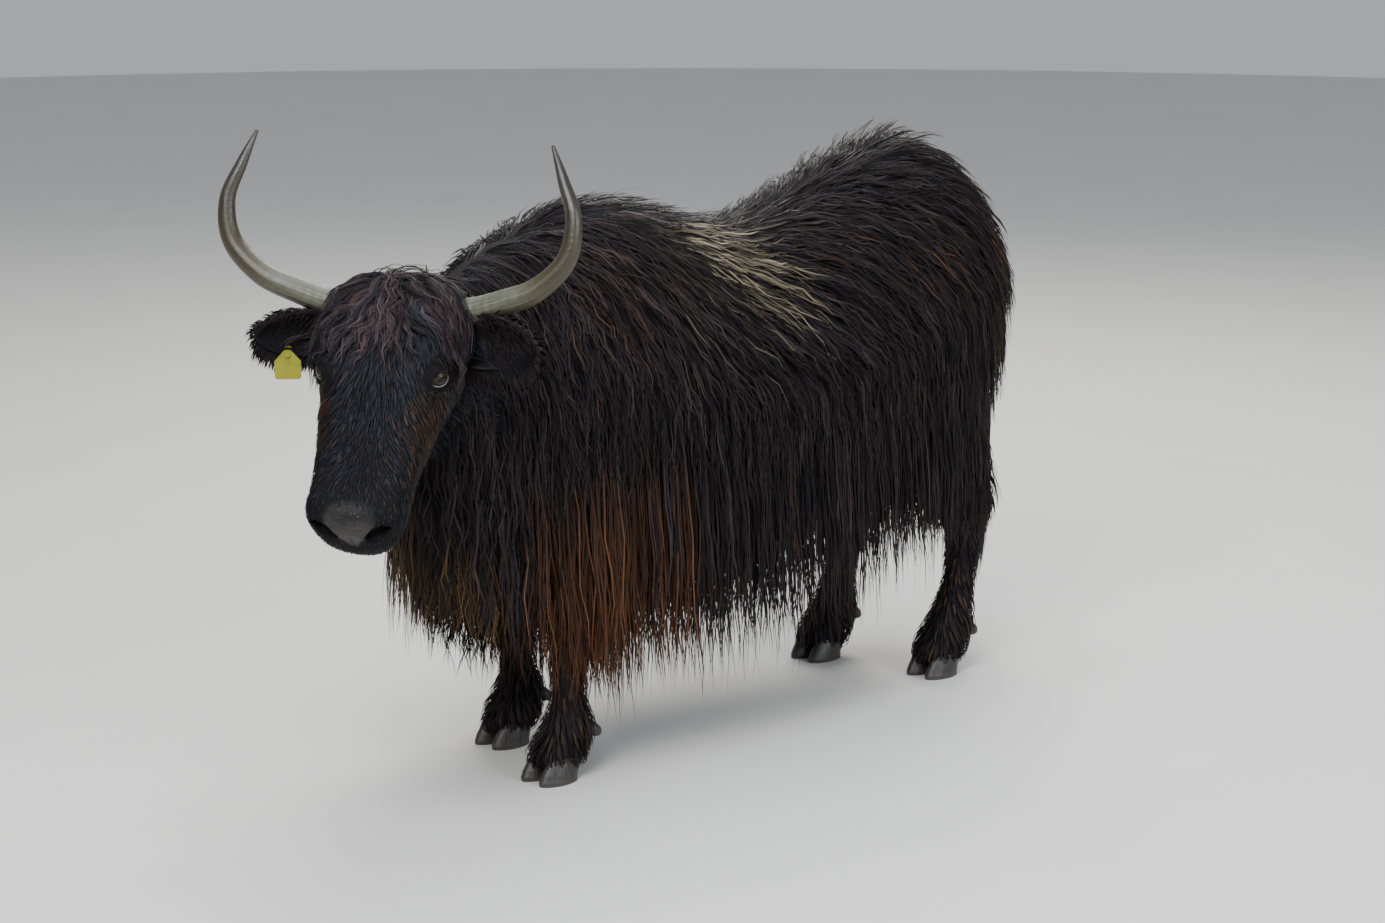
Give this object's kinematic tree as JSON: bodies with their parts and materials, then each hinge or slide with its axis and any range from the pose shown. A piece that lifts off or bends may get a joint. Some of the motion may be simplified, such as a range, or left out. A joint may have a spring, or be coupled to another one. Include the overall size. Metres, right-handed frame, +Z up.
{
  "type": "animal figure",
  "caption": "Life-size standing yak, still museum model: long hanging coat, head turned to its left, wide upswept horns, ear tag.",
  "frame": {"origin": "on the floor, under the middle of the whole model's box", "axes": "+Z up, +X the yak's left, -Y the way it faces"},
  "size_m": [0.7322, 2.0178, 1.2475],
  "materials": {
    "coat": "long dark hair, blue-black to rust brown",
    "horn": "satin, ringed at the base",
    "eye": "wet gloss",
    "hoof": "satin",
    "tag": "semi-gloss"
  },
  "bodies": {
    "root": {"claw_front_left_inner": "hoof", "claw_front_left_outer": "hoof", "claw_front_right_inner": "hoof", "claw_front_right_outer": "hoof", "claw_hind_left_inner": "hoof", "claw_hind_left_outer": "hoof", "claw_hind_right_inner": "hoof", "claw_hind_right_outer": "hoof", "dewclaw_front_left_inner": "hoof", "dewclaw_front_left_outer": "hoof", "dewclaw_front_right_inner": "hoof", "dewclaw_front_right_outer": "hoof", "dewclaw_hind_left_inner": "hoof", "dewclaw_hind_left_outer": "hoof", "dewclaw_hind_right_inner": "hoof", "dewclaw_hind_right_outer": "hoof", "ear_left": "coat", "ear_right": "coat", "ear_tag_button": "tag", "ear_tag_plate": "tag", "eye_left": "eye", "eye_right": "eye", "head": "coat", "horn_left": "horn", "horn_right": "horn", "leg_front_left": "coat", "leg_front_right": "coat", "leg_hind_left": "coat", "leg_hind_right": "coat", "neck": "coat", "tail": "coat", "torso": "coat"}
  },
  "joints": []
}
